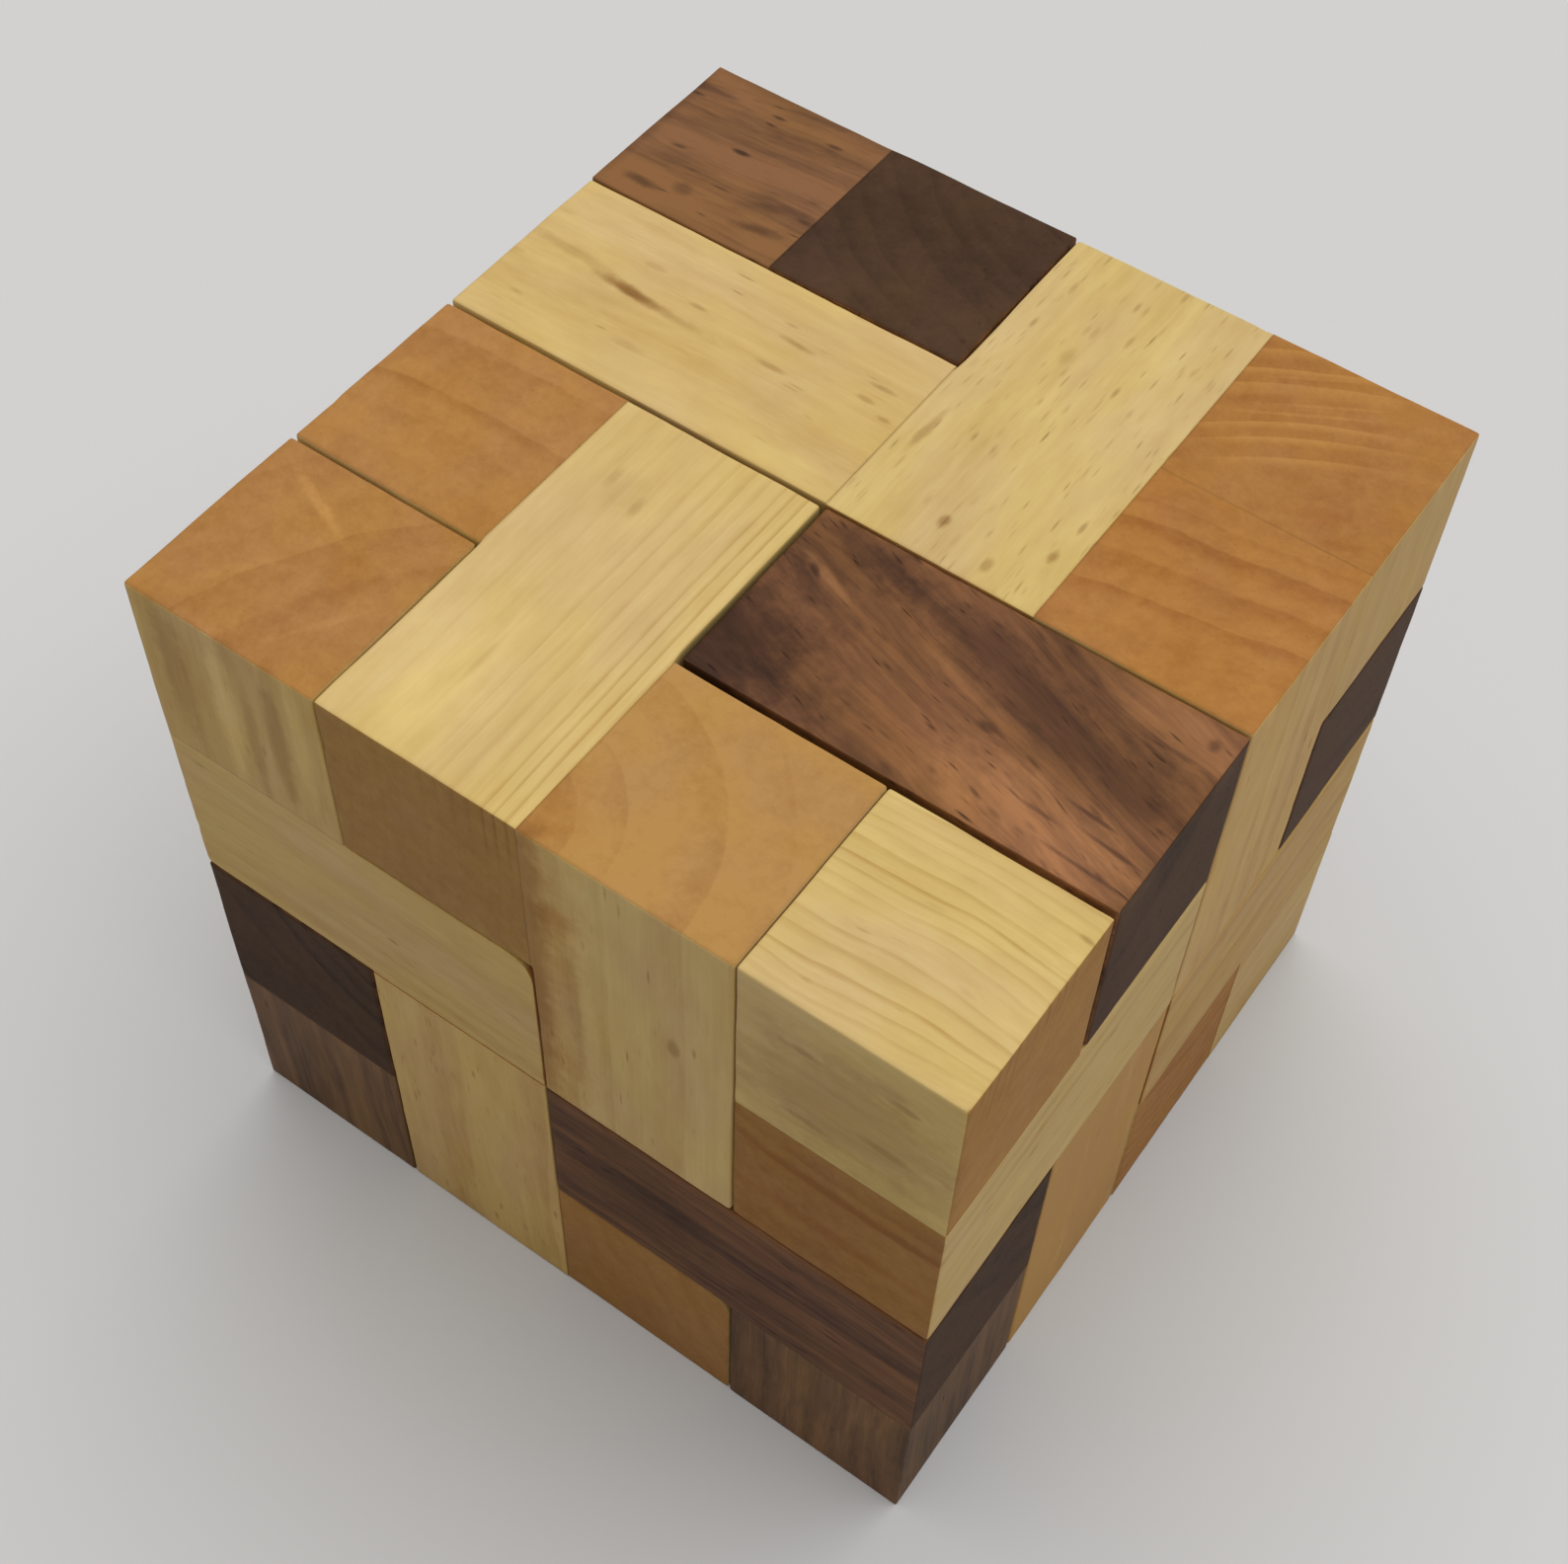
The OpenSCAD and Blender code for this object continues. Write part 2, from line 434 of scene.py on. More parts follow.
    "roof_left_hook": Stick("pale", pith=(20, 36), ring_gap=2.6, seed=45),
    "heel_corner": Stick(
        "pale", pith=(22, 30), ring_gap=2.8, tone=0.35, warmth=0.1, grain="Y", seed=51,
    ),
    "heel_right_stick": Stick(
        "pale", pith=(-26, 44), ring_gap=3.2, rings=0.4, tone=0.95, warmth=0.25, seed=52,
    ),
    "heel_right_floor_stick": Stick(
        "pale", pith=(12, 40), ring_gap=2.4, tone=0.15, warmth=0.2, seed=53,
    ),
    "heel_left_floor_stick": Stick("pale", pith=(30, -34), ring_gap=2.8, seed=54),
    "heel_back_stick": Stick(
        "pale", pith=(24, 52), ring_gap=2.6, line=0.3, sway=2.4, pores=0.5, seed=55,
        marks=(
            fleck((6, 10, 2), (4, 3, 0.7), 0.7),
        ),
    ),
    "cradle_front_corner": Stick(
        "dark", pith=(18, 28), ring_gap=3.0, rings=0.2, sway=3.0, pores=0.05, tone=-0.42,
        warmth=-1.6, grain="Z", seed=61,
    ),
    "cradle_side_stick": Stick(
        "dark", pith=(26, 20), ring_gap=3.4, rings=0.7, sway=4.0, pores=0.5, tone=0.15, seed=62,
    ),
    "cradle_side_post": Stick(
        "dark", pith=(-24, 32), ring_gap=3.6, rings=0.8, sway=5.0, pores=0.5, seed=63,
    ),
    "cradle_core_post": Stick("dark", pith=(20, 24), ring_gap=4.0, seed=64),
    "cradle_back_corner": Stick(
        "dark", pith=(16, -26), ring_gap=3.2, rings=0.7, sway=3.0, pores=0.5, grain="Z", seed=65,
    ),
    "spine_top_corner": Stick(
        "dark", pith=(-10, -34), ring_gap=3.4, rings=0.4, sway=5.0, pores=0.35, tone=-0.84,
        warmth=-0.45, grain="X", seed=71,
        marks=(
            stain((-5.8, -7.6, 10), (2.6, 0.8, 3), 0.9),
            stain((6.2, -6.6, 10), (3.2, 0.9, 3), 0.8, 0.2),
            stain((-2.2, -6.2, 10), (1.4, 1.1, 3), 0.6),
            stain((6.0, -3.4, 10), (3.6, 0.9, 3), 0.4, 0.35),
            stain((0, 9.6, 10), (12, 1.2, 4), 0.45),
            stain((-9.8, 0, 10), (1.2, 12, 4), 0.4),
        ),
    ),
    "spine_left_post": Stick(
        "dark", pith=(20, 34), ring_gap=3.0, rings=0.3, sway=3.0, pores=0.5, tone=0.05, seed=72,
    ),
    "spine_right_stick": Stick(
        "dark", pith=(14, 26), ring_gap=3.8, rings=0.6, sway=4.0, pores=0.5, tone=-0.2,
        end_tone=-0.4, seed=73,
    ),
    "spine_foot_post": Stick(
        "dark", pith=(-18, 28), ring_gap=4.2, rings=0.8, sway=5.0, pores=0.5, seed=74,
    ),
    "spine_core_post": Stick("dark", pith=(22, 30), ring_gap=3.8, seed=75),
}

# The joints that stand wider open or tighter than the others, in mm on each side of the gap
JOINTS = {
    ("arch_front_leg", "key_corner"): -0.06,
    ("arch_front_leg", "lock_top_stick"): 0.16,
    ("arch_left_leg", "base_top_corner"): 0.05,
    ("arch_left_leg", "roof_left_stick"): 0.08,
    ("arch_top_stick", "base_top_corner"): -0.04,
    ("arch_top_stick", "lock_top_stick"): 0.1,
    ("arch_top_stick", "roof_left_stick"): 0.08,
    ("key_corner", "lock_top_stick"): 0.2,
    ("roof_left_stick", "spine_left_post"): -0.06,
    ("roof_left_stick", "spine_top_corner"): -0.06,
}


# ---- user settings ----


def length_property(name, description, default):
    """A small length that a user can set, with its default in mm."""
    return FloatProperty(
        name=name, description=description, default=default * MM, min=0, unit="LENGTH", precision=5
    )


def angle_property(name, description, default):
    """An angle that a user can set, with its default in degrees."""
    return FloatProperty(
        name=name, description=description, default=math.radians(default), subtype="ANGLE"
    )


def colour_property(name, description, default):
    """A colour that a user can pick."""
    return FloatVectorProperty(
        name=name, description=description, default=default, size=3, min=0, max=1, subtype="COLOR"
    )


class PuzzleSizes(bpy.types.PropertyGroup):
    """Sizes of the wood."""

    play: length_property("Play", "Gap between two loose pieces", 0.2)
    edge: length_property("Edge rounding", "Radius that sanding leaves on the loose edges", 0.26)
    worn_edge: length_property(
        "Worn edge", "Added radius of the few edges that are rounded far more", 2.4
    )
    strip: length_property("Edge strip", "Width of the finer mesh beside each edge", 0.8)
    unevenness: length_property(
        "Unevenness", "Most that a face is sanded below its neighbours", 0.12
    )
    rub: FloatProperty(
        name="Rubbed edges",
        description="How unevenly the edges are worn, from 0 to 1",
        default=0.7,
        min=0,
        max=1,
        subtype="FACTOR",
    )
    seed: IntProperty(name="Seed", description="Picks another set of worn edges", default=4)


class PuzzleWoods(bpy.types.PropertyGroup):
    """Colours of the two woods, along the grain and on the cut ends."""

    pale_light: colour_property("Pale, light", "Early wood along the grain", (0.60, 0.44, 0.18))
    pale_dark: colour_property("Pale, dark", "Late wood along the grain", (0.43, 0.27, 0.085))
    pale_end_light: colour_property("Pale end, light", "Early wood cut across", (0.42, 0.22, 0.066))
    pale_end_dark: colour_property("Pale end, dark", "Late wood cut across", (0.27, 0.115, 0.028))
    dark_light: colour_property("Dark, light", "Early wood along the grain", (0.225, 0.10, 0.037))
    dark_dark: colour_property("Dark, dark", "Late wood along the grain", (0.055, 0.023, 0.012))
    dark_end_light: colour_property("Dark end, light", "Early wood cut across", (0.078, 0.04, 0.02))
    dark_end_dark: colour_property("Dark end, dark", "Late wood cut across", (0.034, 0.017, 0.009))


class PuzzleStage(bpy.types.PropertyGroup):
    """The floor, the lights and the camera."""

    floor_colour: colour_property("Floor", "Colour of the floor", (0.552, 0.565, 0.578))
    floor_width: FloatProperty(
        name="Floor width", description="Side of the floor", default=60.0, unit="LENGTH"
    )
    lens: FloatProperty(
        name="Lens", description="Focal length on a 36 mm wide sensor", default=55.1, unit="CAMERA"
    )
    camera_turn: angle_property(
        "Camera turn", "How far the camera stands to the right of the front", 33.45
    )
    camera_rise: angle_property("Camera height", "Angle of the camera above the floor", 54.5)
    camera_roll: angle_property(
        "Camera roll", "Tilt of the camera about its own line of sight", 2.43
    )
    camera_distance: FloatProperty(
        name="Camera distance",
        description="From the point that it looks at, in cube sides",
        default=2.862,
    )
    light_power: FloatProperty(
        name="Light", description="Strength of the light overhead", default=2.95, min=0
    )
    light_width: angle_property(
        "Light width", "How wide the light overhead looks from the floor; wider is softer", 84
    )
    room_light: FloatProperty(
        name="Room light", description="Strength of the light from all round", default=0.25, min=0
    )


# ---- node trees ----


class Nodes:
    """Adds nodes to one node tree."""

    def __init__(self, tree):
        self.tree = tree

    def add(self, kind, settings, inputs, output=0):
        """Makes a node, sets it up, fills or links its sockets by identifier, and returns one
        output as a wire."""
        node = self.tree.nodes.new(kind)
        for name, value in settings.items():
            setattr(node, name, value)
        sockets = {socket.identifier: socket for socket in node.inputs}
        for name, value in inputs.items():
            if isinstance(value, Wire):
                self.tree.links.new(value.socket, sockets[name])
            else:
                sockets[name].default_value = value
        return Wire(self, node.outputs[output])

    def join(self, x, y, z):
        """A vector from three numbers."""
        return self.add("ShaderNodeCombineXYZ", {}, {"X": x, "Y": y, "Z": z})


class Wire:
    """An output socket that can be written in a formula."""

    def __init__(self, nodes, socket):
        self.nodes = nodes
        self.socket = socket
        self.is_vector = socket.type in {"VECTOR", "RGBA"}

    def formula(self, operation, first, second):
        """One Math or Vector Math node."""
        if any(getattr(side, "is_vector", isinstance(side, tuple)) for side in (first, second)):
            both = {"Vector": spread(first), "Vector_001": spread(second)}
            return self.nodes.add("ShaderNodeVectorMath", {"operation": operation}, both)
        both = {"Value": first, "Value_001": second}
        return self.nodes.add("ShaderNodeMath", {"operation": operation}, both)

    def __add__(self, other):
        return self.formula("ADD", self, other)

    def __radd__(self, other):
        return self.formula("ADD", other, self)

    def __sub__(self, other):
        return self.formula("SUBTRACT", self, other)

    def __rsub__(self, other):
        return self.formula("SUBTRACT", other, self)

    def __mul__(self, other):
        return self.formula("MULTIPLY", self, other)

    def __rmul__(self, other):
        return self.formula("MULTIPLY", other, self)

    def __truediv__(self, other):
        return self.formula("DIVIDE", self, other)

    def __rtruediv__(self, other):
        return self.formula("DIVIDE", other, self)

    def __pow__(self, other):
        return self.formula("POWER", self, other)

    def alone(self, operation):
        """A Math or Vector Math node that needs no second value."""
        return self.formula(operation, self, (0, 0, 0) if self.is_vector else 0.0)

    def least(self, other):
        """The smaller of the two."""
        return self.formula("MINIMUM", self, other)

    def most(self, other):
        """The larger of the two."""
        return self.formula("MAXIMUM", self, other)

    def parts(self):
        """The three numbers of a vector."""
        node = self.nodes.add("ShaderNodeSeparateXYZ", {}, {"Vector": self}).socket.node
        return [Wire(self.nodes, socket) for socket in node.outputs]

    def length(self):
        """The length of a vector."""
        settings = {"operation": "LENGTH"}
        return self.nodes.add("ShaderNodeVectorMath", settings, {"Vector": self}, "Value")

    def dot(self, other):
        """The dot product with another vector."""
        settings = {"operation": "DOT_PRODUCT"}
        inputs = {"Vector": self, "Vector_001": other}
        return self.nodes.add("ShaderNodeVectorMath", settings, inputs, "Value")

    def noise(self, detail=2.0, roughness=0.5, output="Fac"):
        """Smooth random values, about one wave in each unit of this vector."""
        inputs = {"Vector": self, "Scale": 1.0, "Detail": detail, "Roughness": roughness}
        return self.nodes.add("ShaderNodeTexNoise", {}, inputs, output)

    def changes(self, waves, output="Fac"):
        """One of the random changes through the wood, at this place in mm."""
        return (self * waves.per_mm).noise(waves.detail, waves.roughness, output)

    def ease(self, low, high):
        """0 at low, 1 at high, and a smooth change between them, whichever is the larger."""
        start, end = (0.0, 1.0) if low < high else (1.0, 0.0)
        inputs = {
            "Value": self,
            "From Min": min(low, high),
            "From Max": max(low, high),
            "To Min": start,
            "To Max": end,
        }
        settings = {"interpolation_type": "SMOOTHSTEP"}
        return self.nodes.add("ShaderNodeMapRange", settings, inputs, "Result")

    def blend(self, first, second):
        """Colour mix: first where this is 0, second where it is 1."""
        settings = {"data_type": "RGBA", "clamp_factor": True}
        inputs = {"Factor_Float": self, "A_Color": opaque(first), "B_Color": opaque(second)}
        return self.nodes.add("ShaderNodeMix", settings, inputs, 2)


def spread(value):
    """A number as a vector with the number in all three places."""
    if isinstance(value, (int, float)):
        return (value, value, value)
    return value


def opaque(colour):
    """A plain colour with its alpha, or a wire as it is."""
    return colour if isinstance(colour, Wire) else (*colour, 1.0)


# ---- shape of a stick ----


def group_inputs(tree, wanted):
    """Adds a node group's named inputs and returns them as wires."""
    for name, kind in wanted.items():
        tree.interface.new_socket(name, in_out="INPUT", socket_type="NodeSocket" + kind)
    tree.interface.new_socket("Stick", in_out="OUTPUT", socket_type="NodeSocketGeometry")
    node = tree.nodes.new("NodeGroupInput")
    return {name: Wire(Nodes(tree), node.outputs[name]) for name in wanted}


STICK_INPUTS = {
    "Size": "Vector",
    "Middle": "Vector",
    "Along": "Vector",
    "Near Low Sides": "Vector",
    "Near High Sides": "Vector",
    "Far Low Sides": "Vector",
    "Far High Sides": "Vector",
    "Cell": "Float",
    "Edge Radius": "Float",
    "Edge Strip": "Float",
    "Rub": "Float",
    "Worn Edge": "Vector",
    "Worn Radius": "Float",
    "Seed": "Float",
    "Material": "Material",
}


def stick_tree():
    """Geometry nodes for one stick: a block on a grid that is finest at the edges, set back from
    its neighbours on the loose sides, with those edges sanded round and rubbed unevenly."""
    tree = bpy.data.node_groups.new(TREE_NAME, "GeometryNodeTree")
    nodes = Nodes(tree)
    put = group_inputs(tree, STICK_INPUTS)

    # a block from -1 to 1 each way
    steps = put["Size"] / put["Cell"] * FACE_STEPS
    across, deep, tall = (steps + 1.5).parts()  # one more than the steps, rounded down
    cube = {"Size": (2, 2, 2), "Vertices X": across, "Vertices Y": deep, "Vertices Z": tall}
    block = nodes.add("GeometryNodeMeshCube", {}, cube)
    unit = nodes.add("GeometryNodeInputPosition", {}, {})
    side = unit.alone("SIGN")
    reach = unit.alone("ABSOLUTE")

    # crowd the outer steps into the strip beside each edge
    half = put["Size"] * 0.5
    inner_share = 1.0 - (2.0 * EDGE_STEPS) / steps
    inner_reach = 1.0 - put["Edge Strip"] / half
    inside = reach * inner_reach / inner_share
    strip = inner_reach + (reach - inner_share) * (1.0 - inner_reach) / (1.0 - inner_share)
    far_out = inside.least(strip) * half

    # how far each side stands back here: none on a glued side
    past_middle = unit.dot(put["Along"]).ease(-0.001, 0.001)
    low = put["Near Low Sides"] + (put["Far Low Sides"] - put["Near Low Sides"]) * past_middle
    high = put["Near High Sides"] + (put["Far High Sides"] - put["Near High Sides"]) * past_middle
    back = low * (side * -1.0).most(0.0) + high * side.most(0.0)
    loose = (back * 1e7).least(1.0)
    face = half - back
    flat = far_out.least(face)

    # round the loose edges, more in some places than in others
    place = flat * side / MM + put["Seed"] * WEAR_SPACING
    worn = place.changes(WEAR).ease(0.3, 0.75)
    nicked = place.changes(NICKS).ease(0.60, 0.74)
    radius = put["Edge Radius"] * (1.0 + put["Rub"] * (worn - USUAL_WEAR + nicked * NICK_DEPTH))
    sides = put["Worn Edge"].alone("ABSOLUTE")
    at_worn = (side.dot(put["Worn Edge"]) - sides.dot((1, 1, 1))).ease(-0.6, -0.4)
    radius = radius + sides * (at_worn * put["Worn Radius"] * sides.dot((1, 1, 1)).least(1.0))
    core = flat.least(face - loose * radius)
    over = flat - core
    over_x, over_y, over_z = over.parts()
    deepest = over_x.most(over_y).most(over_z)
    slant = over.length().most(1e-9)
    rounded = core + over * (deepest / slant)

    moved = {"Geometry": block, "Position": rounded * side + put["Middle"]}
    shaped = nodes.add("GeometryNodeSetPosition", {}, moved)

    # marks for the finish: rubbed edges, which the wood darkens with grime and painted gap shade,
    # and the lines where glue holds a neighbour
    rub = (slant * slant - deepest * deepest).most(0.0) ** 0.5 / put["Edge Radius"]
    seam_x, seam_y, seam_z = ((reach + 0.001).alone("FLOOR") * (1.0 - loose)).parts()
    seam = seam_x.most(seam_y).most(seam_z)
    for name, value in (("rubbed", rub.least(1.0)), ("glued", seam)):
        marked = {"Geometry": shaped, "Name": name, "Value": value}
        shaped = nodes.add("GeometryNodeStoreNamedAttribute", {"data_type": "FLOAT"}, marked)

    smooth = nodes.add("GeometryNodeSetShadeSmooth", {}, {"Geometry": shaped})
    real = nodes.add("GeometryNodeRealizeInstances", {}, {"Geometry": smooth})
    painted = {"Geometry": real, "Material": put["Material"]}
    finished = nodes.add("GeometryNodeSetMaterial", {}, painted)
    out = tree.nodes.new("NodeGroupOutput")
    tree.links.new(finished.socket, out.inputs["Stick"])
    return tree


# ---- wood ----

AXES = "XYZ"
ACROSS = {"X": "YZ", "Y": "ZX", "Z": "XY"}  # the two axes across each grain direction


def mark_mask(here, ripple, mark):
    """Where one mark shows, with a ragged outline."""
    x, y, z = (here - mark.at).parts()
    flat = here.nodes.join(x, y - x * mark.slope, z) / mark.reach
    away = flat.length() + (ripple - NOISE_MIDDLE) * RAGGED
    return away.ease(MARK_RIM, MARK_CORE) * mark.strength


def pore_mask(bent, stretch, share):
    """Long narrow vessels, which show as dashes along the grain and as dots on the ends."""
    cells = {"Vector": bent * stretch, "Scale": 1.0, "Randomness": 1.0}
    away = bent.nodes.add("ShaderNodeTexVoronoi", {}, cells, "Distance")
    pick, wide, faint = bent.nodes.add("ShaderNodeTexVoronoi", {}, cells, "Color").parts()
    seen = FAINTEST_PORE + faint * faint * (1.0 - FAINTEST_PORE)
    shown = pick.ease(1.0 - share, 1.05 - share) * seen
    return (away + wide * PORE_WIDTHS).ease(PORE_RIM, PORE_CORE) * shown


def wood_material(name, stick, grain, middle, woods):
    """Wood of one stick: a solid log with rings, fibres and pores that shows on every face as
    the cut meets it, and darker, more open cut ends."""
    material = bpy.data.materials.new(name + "_wood")
    material.use_nodes = True
    tree = material.node_tree
    tree.nodes.clear()
    nodes = Nodes(tree)

    # where this point was in the log, in mm: x and y across the grain from the heart, z along it
    here = (nodes.add("ShaderNodeTexCoord", {}, {}, "Object") - tuple(middle)) / MM
    normal = nodes.add("ShaderNodeTexCoord", {}, {}, "Normal")
    place = dict(zip(AXES, here.parts()))
    facing = dict(zip(AXES, normal.parts()))
    first, second = ACROSS[grain]
    across = place[first] - stick.pith[0] + place[grain] * stick.slope[0]
    deep = place[second] - stick.pith[1] + place[grain] * stick.slope[1]
    log = nodes.join(across, deep, place[grain] + stick.seed * LOG_SPACING)

    # the grain wanders, in long slow waves and short quick ones
    slow = log.changes(SLOW_BENDS, "Color") - NOISE_MIDDLE
    quick = log.changes(QUICK_BENDS, "Color") - NOISE_MIDDLE
    bent = log + slow * (SLOW_SWAY * stick.sway) + quick * (QUICK_SWAY * stick.sway)

    # growth rings: each one darkens slowly to its late wood, then fades quickly
    radius = (bent * (1.0, 1.0, 0.0)).length()
    uneven = nodes.join(radius * UNEVEN_PER_MM, stick.seed * UNEVEN_SPACING, 0.5).noise(1.0)
    turn = radius / stick.ring_gap + uneven * UNEVEN_RINGS
    which = turn.alone("FLOOR")
    within = turn - which
    late = within.ease(LATE_START + LATE_SHIFT * stick.line, LATE_END) * within.ease(1.0, LATE_END)
    strength = nodes.join(which * RING_STEP, stick.seed * RING_SPACING, 0.0).noise(0.0)
    ring = late * strength.ease(0.28, 0.72)

    # fibres, streaks, and slow changes of colour
    fibre = bent.changes(FIBRES)
    streak = bent.changes(STREAKS)
    patch = bent.changes(PATCHES)
    mottle = bent.changes(MOTTLING)
    hue = (log * HUES.per_mm + HUE_SHIFT).noise(HUES.detail)
    ripple = here.changes(RIPPLES)
    ring = ring * (RING_LEAST + mottle * RING_MORE)
    if stick.focus:
        spot, reach = stick.focus
        near = ((here - spot) / reach).length().ease(1.4, 0.5)
        ring = ring * (OFF_FOCUS + near * (1.0 - OFF_FOCUS))

    end = facing[grain].alone("ABSOLUTE").ease(0.5, 0.85)

    kind = KINDS[stick.wood]
    common = (
        stick.tone * TONE_STEP
        + (mottle - NOISE_MIDDLE) * MOTTLED
        + (patch - NOISE_MIDDLE) * kind.patches
    )
    side_shade = (
        common
        + kind.shade
        + (ring - USUAL_RING) * (kind.rings * stick.rings)
        + (streak - NOISE_MIDDLE) * kind.streaks
        + (fibre - NOISE_MIDDLE) * kind.fibres
    )
    end_shade = (
        common
        + (END_SHADE + stick.end_tone)
        + (ring - USUAL_RING) * (END_RINGS * stick.rings)
        + (bent.changes(GRIT) - NOISE_MIDDLE) * END_GRIT
    )
    side_light, side_dark, end_light, end_dark = wood_colours(woods, stick.wood)
    side_colour = side_shade.blend(side_light, side_dark)
    colour = end.blend(side_colour, end_shade.blend(end_light, end_dark))

    # pores hold dust and finish
    fine = pore_mask(bent, FINE_PORES, stick.pores * FINE_SHARE)
    pore = fine.most(pore_mask(bent, BROAD_PORES, stick.pores))
    shown = pore * kind.pores * (1.0 - end * END_PORES_LESS)
    colour = shown.blend(colour, kind.pore_colour)

    tints = {"ray": kind.ray, "stain": kind.stain, "fleck": FLECK}
    for mark in stick.marks:
        colour = mark_mask(here, ripple, mark).blend(colour, colour * tints[mark.kind])
    colour = colour * warmth_tint(stick.warmth)
    if stick.end_warmth:
        colour = end.blend(colour, colour * warmth_tint(stick.end_warmth))
    colour = hue.ease(0.3, 0.7).blend(colour * YELLOW_HUE, colour * PINK_HUE)
    return finish_wood(nodes, material, colour, end, pore, ring, fibre, streak)


def wood_colours(woods, wood):
    """The light and dark colours of one wood, along the grain and then on a cut end."""
    return [getattr(woods, wood + part) for part in ("_light", "_dark", "_end_light", "_end_dark")]


def warmth_tint(warmth):
    """What to multiply a colour by to make it redder, or greyer where warmth is below 0."""
    target = REDDER if warmth > 0 else GREYER
    return tuple(1.0 + (part - 1.0) * abs(warmth) for part in target)


def finish_wood(nodes, material, colour, end, pore, ring, fibre, streak):
    """The wax on the wood: how it shines, how its edges have darkened with grime and painted shade
    along the gaps between pieces, and how it feels.
    """
    rubbed = nodes.add("ShaderNodeAttribute", {"attribute_name": "rubbed"}, {}, "Fac")
    glued = nodes.add("ShaderNodeAttribute", {"attribute_name": "glued"}, {}, "Fac")
    # darker rounded edges: grime, and painted shade along the gaps between pieces
    grime_and_gap_shade = rubbed.ease(0.35, 1.0) * streak.ease(0.25, 0.65)
    colour = (grime_and_gap_shade * EDGE_GRIME_AND_GAP_SHADE_SHARE).blend(colour, colour * EDGE_GRIME_AND_GAP_SHADE)
    colour = (glued.ease(0.2, 1.0) * GLUE_SHARE).blend(colour, colour * GLUE)
    roughness = ROUGHNESS + end * END_ROUGHER + (fibre - NOISE_MIDDLE) * FIBRE_ROUGHER
    roughness = roughness + pore * PORE_ROUGHER - rubbed * RUBBED_SMOOTHER
    height = fibre * FIBRE_RISE - ring * RING_DIP - pore * PORE_DIP + end * fibre * END_FIBRE_RISE
    bump = {"Strength": 1.0, "Distance": MM, "Height": height}
    surface = {
        "Base Color": colour,
        "Roughness": roughness,
        "Normal": nodes.add("ShaderNodeBump", {}, bump),
        "Specular IOR Level": SHINE,
    }
    shader = nodes.add("ShaderNodeBsdfPrincipled", {}, surface)
    tree = material.node_tree
    out = tree.nodes.new("ShaderNodeOutputMaterial")
    tree.links.new(shader.socket, out.inputs["Surface"])
    return material


# ---- pieces ----


def grid_pitch(sizes):
    """From one cell's middle to the next."""
    return (CUBE_SIDE + sizes.play) / CELLS


def cell_middle(cell, sizes):
    """The middle of a cell of the grid."""
    pitch = grid_pitch(sizes)
    corner = CAD_LOW - Vector((1, 1, 1)) * sizes.play / 2
    return corner + (Vector(cell) + Vector((0.5, 0.5, 0.5))) * pitch


def cells_by_owner(sizes):
    """Which node and which body fill each cell of the cube."""
    found = {}
    for name, node in frame["nodes"].items():
        low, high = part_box(name)
        for number in range(CELLS**3):
            cell = (number % CELLS, number // CELLS % CELLS, number // CELLS**2)
            middle = cell_middle(cell, sizes)
            if all(low[i] < middle[i] < high[i] for i in range(3)):
                found[cell] = (name, node["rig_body"])
    return found


def side_setbacks(name, cells, owners, sizes):
    """For the near and the far cell of a stick, how far the low and high sides stand back."""
    draw = random.Random(name)
    body = owners[cells[0]][1]
    setbacks = [[Vector((0, 0, 0)), Vector((0, 0, 0))] for _ in cells]
    for axis in range(3):
        for end, step in enumerate((-1, 1)):
            sanded = draw.uniform(LEAST_SANDED, 1.0) * sizes.unevenness
            for place, cell in enumerate(cells):
                beside = list(cell)
                beside[axis] += step
                other = owners.get(tuple(beside))
                if other is None:
                    on_floor = axis == 2 and step < 0
                    setbacks[place][end][axis] = sizes.play / 2 + (0.0 if on_floor else sanded)
                elif other[1] != body:
                    wider = JOINTS.get(tuple(sorted((name, other[0]))), 0.0) * MM
                    setbacks[place][end][axis] = sizes.play / 2 + wider + sanded * INNER_SANDED
    return setbacks[0], setbacks[-1]


